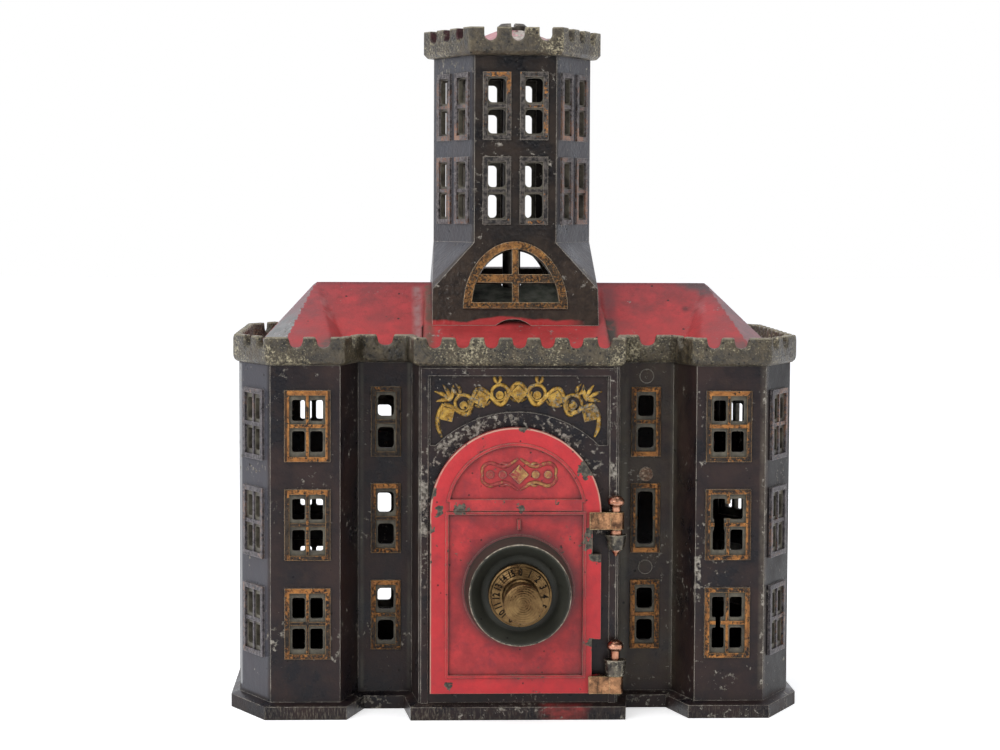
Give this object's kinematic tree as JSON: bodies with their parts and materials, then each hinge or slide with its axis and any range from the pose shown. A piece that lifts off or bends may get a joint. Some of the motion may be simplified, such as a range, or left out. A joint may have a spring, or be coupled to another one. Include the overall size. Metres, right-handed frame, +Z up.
{
  "type": "cast iron toy bank",
  "caption": "Castle-shaped cast iron savings bank with corner towers, a tall central tower, battlements, a red hipped roof and a hinged arched door with a combination dial.",
  "frame": {"origin": "on the flat underside, on the axis of the tie bolt", "axes": "+Z up along the tie bolt, -Y out of the door, +X towards the door's hinges"},
  "size_m": [0.1458, 0.117, 0.1769],
  "materials": {
    "dark_japan": "worn dark brown japan lacquer over cast iron, with gilt window frames",
    "red_paint": "worn dull red paint over cast iron",
    "olive_bronze": "worn olive bronze paint over cast iron",
    "bare_iron": "dark rough casting",
    "old_steel": "tarnished steel",
    "aged_brass": "aged brass, bright where it is rubbed",
    "copper_pin": "coppered, rubbed on the head"
  },
  "bodies": {
    "bank": {"base_plate": "bare_iron", "front_wall": "dark_japan", "rear_wall": "dark_japan", "left_wall": "dark_japan", "right_wall": "dark_japan", "roof": "red_paint", "tower_front": "dark_japan", "tower_rear": "dark_japan", "tower_crown": "olive_bronze", "tie_bolt": "old_steel", "upper_hinge_pin": "copper_pin", "lower_hinge_pin": "copper_pin", "lock_catch": "bare_iron", "catch_screws": "old_steel"},
    "door": {"door": "red_paint"},
    "dial": {"dial_knob": "aged_brass", "dial_spindle": "old_steel", "spindle_collar": "aged_brass", "tumbler_spacer": "aged_brass", "drive_spacer": "aged_brass", "drive_disc": "old_steel", "spindle_nut": "old_steel"},
    "front_tumbler": {"front_tumbler": "aged_brass"},
    "rear_tumbler": {"rear_tumbler": "aged_brass"}
  },
  "joints": [
    {"name": "door_hinge", "type": "hinge", "parent": "bank", "child": "door", "pos_m": [0.0242, -0.0476, 0.03], "axis": [0, 0, 1], "range_deg": [0, 105]},
    {"name": "dial_turn", "type": "hinge", "parent": "door", "child": "dial", "pos_m": [-0.0001, -0.048, 0.0329], "axis": [0, 1, 0], "continuous": true},
    {"name": "front_tumbler_turn", "type": "hinge", "parent": "door", "child": "front_tumbler", "pos_m": [-0.0001, -0.04, 0.0329], "axis": [0, 1, 0], "continuous": true},
    {"name": "rear_tumbler_turn", "type": "hinge", "parent": "door", "child": "rear_tumbler", "pos_m": [-0.0001, -0.038, 0.0329], "axis": [0, 1, 0], "continuous": true}
  ]
}
